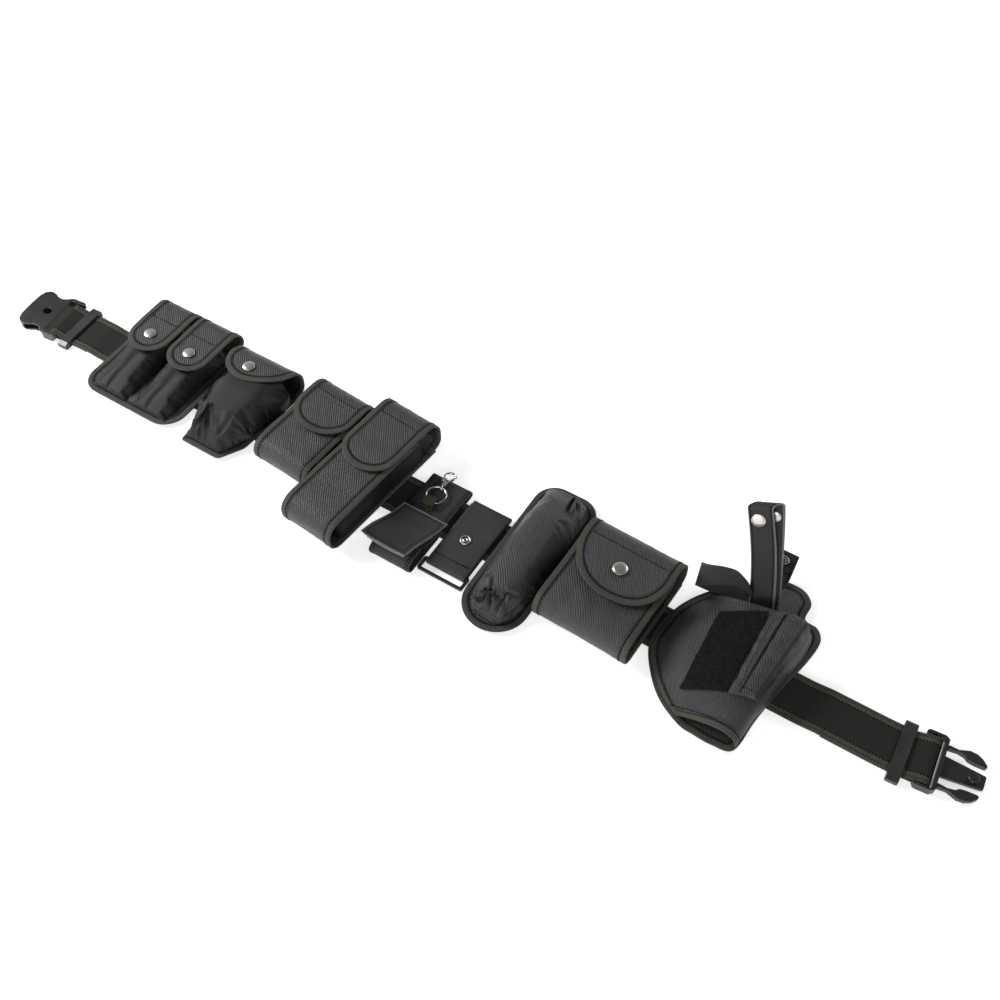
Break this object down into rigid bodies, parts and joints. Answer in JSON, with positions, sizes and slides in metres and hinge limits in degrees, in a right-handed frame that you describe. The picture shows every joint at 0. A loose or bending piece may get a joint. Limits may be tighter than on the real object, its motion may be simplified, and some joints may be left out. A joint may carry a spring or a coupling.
{
  "type": "utility belt",
  "caption": "Black webbing duty belt with side release buckle and keepers, laid flat, carrying flap pouches, a key holder, a baton ring and a holster on sliding loops.",
  "frame": {"origin": "middle of the belt's length, on the back of the belt where it lies on the ground", "axes": "+X along the belt from the socket half of the buckle to the plug half, +Y towards the belt's upper edge and the pouch mouths, +Z away from the wearer's body"},
  "size_m": [1.1371, 0.2223, 0.1174],
  "materials": {
    "nylon": "ribbed ballistic nylon, matt",
    "fine": "fine smooth nylon, matt",
    "web": "woven webbing with stitched edges",
    "vinyl": "smooth coated vinyl",
    "pile": "loop pile",
    "plastic": "moulded, fine grain",
    "nickel": "nickel plated press stud",
    "chrome": "bright plated"
  },
  "bodies": {
    "belt": {"belt_web": "web"},
    "keeper_left": {"keeper_left": "plastic"},
    "keeper_right": {"keeper_right": "plastic"},
    "female_buckle": {"female_buckle": "plastic"},
    "male_buckle": {"male_buckle": "plastic"},
    "male_prong_upper": {"male_prong_upper": "plastic"},
    "male_prong_lower": {"male_prong_lower": "plastic"},
    "male_lock_tongue": {"male_lock_tongue": "plastic"},
    "mag_pouch": {"mag_back_panel": "nylon", "mag_belt_loop": "fine", "mag_pocket_left": "fine", "mag_pocket_right": "fine", "mag_snap_stud_left": "nickel", "mag_snap_stud_right": "nickel"},
    "mag_flap_left": {"mag_flap_left": "nylon", "mag_snap_cap_left": "nickel"},
    "mag_flap_right": {"mag_flap_right": "nylon", "mag_snap_cap_right": "nickel"},
    "utility_pouch": {"utility_back_panel": "nylon", "utility_belt_loop": "fine", "utility_pocket": "fine", "utility_snap_stud": "nickel"},
    "utility_flap": {"utility_flap": "nylon", "utility_snap_cap": "nickel"},
    "phone_pouch": {"phone_shell": "nylon", "phone_gusset": "fine", "phone_belt_loop": "fine"},
    "phone_flap": {"phone_flap": "nylon"},
    "torch_pouch": {"torch_shell": "nylon", "torch_gusset": "fine", "torch_belt_loop": "fine"},
    "torch_flap": {"torch_flap": "nylon"},
    "key_holder": {"key_strap": "fine", "key_tab": "fine"},
    "key_ring": {"key_ring": "chrome"},
    "key_hook": {"key_hook": "chrome"},
    "key_hook_gate": {"key_hook_gate": "chrome"},
    "key_cover": {"key_cover": "vinyl"},
    "baton_holder": {"baton_strap": "fine", "baton_snap": "nickel"},
    "baton_ring": {"baton_ring": "plastic"},
    "spray_pouch": {"spray_back_panel": "nylon", "spray_pocket": "nylon", "spray_belt_loop": "fine"},
    "cuff_case": {"cuff_shell": "nylon", "cuff_gusset": "fine", "cuff_snap_stud": "nickel", "cuff_belt_loop": "fine"},
    "cuff_flap": {"cuff_flap": "nylon", "cuff_snap_cap": "nickel"},
    "holster": {"holster_back_panel": "nylon", "holster_belt_loop": "fine", "holster_front_panel": "nylon", "holster_loop_pad": "pile", "holster_mag_pocket": "fine"},
    "holster_thumb_strap": {"holster_thumb_strap": "fine", "holster_thumb_snap": "nickel"},
    "holster_side_strap": {"holster_side_strap": "fine"},
    "holster_rear_tab": {"holster_rear_tab": "fine", "holster_rear_tab_snap": "nickel"}
  },
  "joints": [
    {"name": "keeper_left_slide", "type": "slide", "parent": "belt", "child": "keeper_left", "axis": [1, 0, 0], "range_m": [0, 0.048]},
    {"name": "keeper_right_slide", "type": "slide", "parent": "belt", "child": "keeper_right", "axis": [1, 0, 0], "range_m": [-0.094, 0]},
    {"name": "mag_pouch_slide", "type": "slide", "parent": "belt", "child": "mag_pouch", "axis": [1, 0, 0], "range_m": [-0.01, 0.0075]},
    {"name": "utility_pouch_slide", "type": "slide", "parent": "belt", "child": "utility_pouch", "axis": [1, 0, 0], "range_m": [-0.0075, 0.0125]},
    {"name": "phone_pouch_slide", "type": "slide", "parent": "belt", "child": "phone_pouch", "axis": [1, 0, 0], "range_m": [-0.0125, 0.005]},
    {"name": "torch_pouch_slide", "type": "slide", "parent": "belt", "child": "torch_pouch", "axis": [1, 0, 0], "range_m": [-0.005, 0.014]},
    {"name": "key_holder_slide", "type": "slide", "parent": "belt", "child": "key_holder", "axis": [1, 0, 0], "range_m": [-0.014, 0.0013]},
    {"name": "baton_holder_slide", "type": "slide", "parent": "belt", "child": "baton_holder", "axis": [1, 0, 0], "range_m": [-0.0013, 0.0009]},
    {"name": "spray_pouch_slide", "type": "slide", "parent": "belt", "child": "spray_pouch", "axis": [1, 0, 0], "range_m": [-0.0009, 0.0015]},
    {"name": "cuff_case_slide", "type": "slide", "parent": "belt", "child": "cuff_case", "axis": [1, 0, 0], "range_m": [-0.0015, 0.003]},
    {"name": "holster_slide", "type": "slide", "parent": "belt", "child": "holster", "axis": [1, 0, 0], "range_m": [-0.003, 0.012]},
    {"name": "female_buckle_hinge", "type": "hinge", "parent": "belt", "child": "female_buckle", "pos_m": [-0.518, -0.00269, 0.0061], "axis": [-0.0958, 0.9954, 0], "range_deg": [0, 45]},
    {"name": "male_buckle_hinge", "type": "hinge", "parent": "belt", "child": "male_buckle", "pos_m": [0.518, 0.00269, 0.0061], "axis": [0.0958, -0.9954, 0], "range_deg": [0, 45]},
    {"name": "male_prong_upper_hinge", "type": "hinge", "parent": "male_buckle", "child": "male_prong_upper", "pos_m": [0.52912, 0.02385, 0.0061], "axis": [0, 0, -1], "range_deg": [0, 5], "stiffness_Nm_per_rad": 0.6},
    {"name": "male_prong_lower_hinge", "type": "hinge", "parent": "male_buckle", "child": "male_prong_lower", "pos_m": [0.53296, -0.01596, 0.0061], "axis": [0, 0, 1], "range_deg": [0, 5], "stiffness_Nm_per_rad": 0.6},
    {"name": "male_lock_tongue_hinge", "type": "hinge", "parent": "male_buckle", "child": "male_lock_tongue", "pos_m": [0.53104, 0.00394, 0.0058], "axis": [-0.0958, 0.9954, 0], "range_deg": [0, 3], "stiffness_Nm_per_rad": 0.8},
    {"name": "mag_flap_left_hinge", "type": "hinge", "parent": "mag_pouch", "child": "mag_flap_left", "pos_m": [-0.3985, 0.066, 0.0062], "axis": [-1, 0, 0], "range_deg": [0, 70]},
    {"name": "mag_flap_right_hinge", "type": "hinge", "parent": "mag_pouch", "child": "mag_flap_right", "pos_m": [-0.342, 0.066, 0.0062], "axis": [-1, 0, 0], "range_deg": [0, 70]},
    {"name": "utility_flap_hinge", "type": "hinge", "parent": "utility_pouch", "child": "utility_flap", "pos_m": [-0.256, 0.05, 0.0062], "axis": [-1, 0, 0], "range_deg": [0, 70]},
    {"name": "phone_flap_hinge", "type": "hinge", "parent": "phone_pouch", "child": "phone_flap", "pos_m": [-0.15651, 0.05702, 0.0062], "axis": [-0.9969, 0.0785, 0], "range_deg": [0, 70]},
    {"name": "torch_flap_hinge", "type": "hinge", "parent": "torch_pouch", "child": "torch_flap", "pos_m": [-0.07956, 0.06794, 0.0062], "axis": [-0.9962, 0.0872, 0], "range_deg": [0, 70]},
    {"name": "cuff_flap_hinge", "type": "hinge", "parent": "cuff_case", "child": "cuff_flap", "pos_m": [0.19913, 0.05517, 0.0062], "axis": [-0.9994, 0.0349, 0], "range_deg": [0, 70]},
    {"name": "key_ring_hinge", "type": "hinge", "parent": "key_holder", "child": "key_ring", "pos_m": [-0.0115, 0.0012, 0.01235], "axis": [1, 0, 0], "range_deg": [0, 22]},
    {"name": "key_hook_hinge", "type": "hinge", "parent": "key_ring", "child": "key_hook", "pos_m": [-0.0115, 0.0222, 0.01235], "axis": [1, 0, 0], "range_deg": [0, 80]},
    {"name": "key_hook_gate_hinge", "type": "hinge", "parent": "key_hook", "child": "key_hook_gate", "pos_m": [-0.0096, 0.0313, 0.01235], "axis": [0, 0, 1], "range_deg": [0, 12], "stiffness_Nm_per_rad": 0.01},
    {"name": "key_cover_hinge", "type": "hinge", "parent": "key_holder", "child": "key_cover", "pos_m": [-0.008, -0.015, 0.0118], "axis": [-1, 0, 0], "range_deg": [0, 80]},
    {"name": "baton_ring_hinge", "type": "hinge", "parent": "baton_holder", "child": "baton_ring", "pos_m": [0.045, -0.053, 0.00372], "axis": [-1, 0, 0], "range_deg": [0, 90]},
    {"name": "holster_thumb_strap_hinge", "type": "hinge", "parent": "holster", "child": "holster_thumb_strap", "pos_m": [0.3278, 0.063, 0.0106], "axis": [0.9337, 0.2756, 0.2287], "range_deg": [-18, 5]},
    {"name": "holster_side_strap_hinge", "type": "hinge", "parent": "holster", "child": "holster_side_strap", "pos_m": [0.308, 0.07, 0.0088], "axis": [0, 1, 0], "range_deg": [0, 20]},
    {"name": "holster_rear_tab_hinge", "type": "hinge", "parent": "holster", "child": "holster_rear_tab", "pos_m": [0.3255, 0.102, 0.0066], "axis": [1, 0, 0], "range_deg": [-15, 40]}
  ]
}
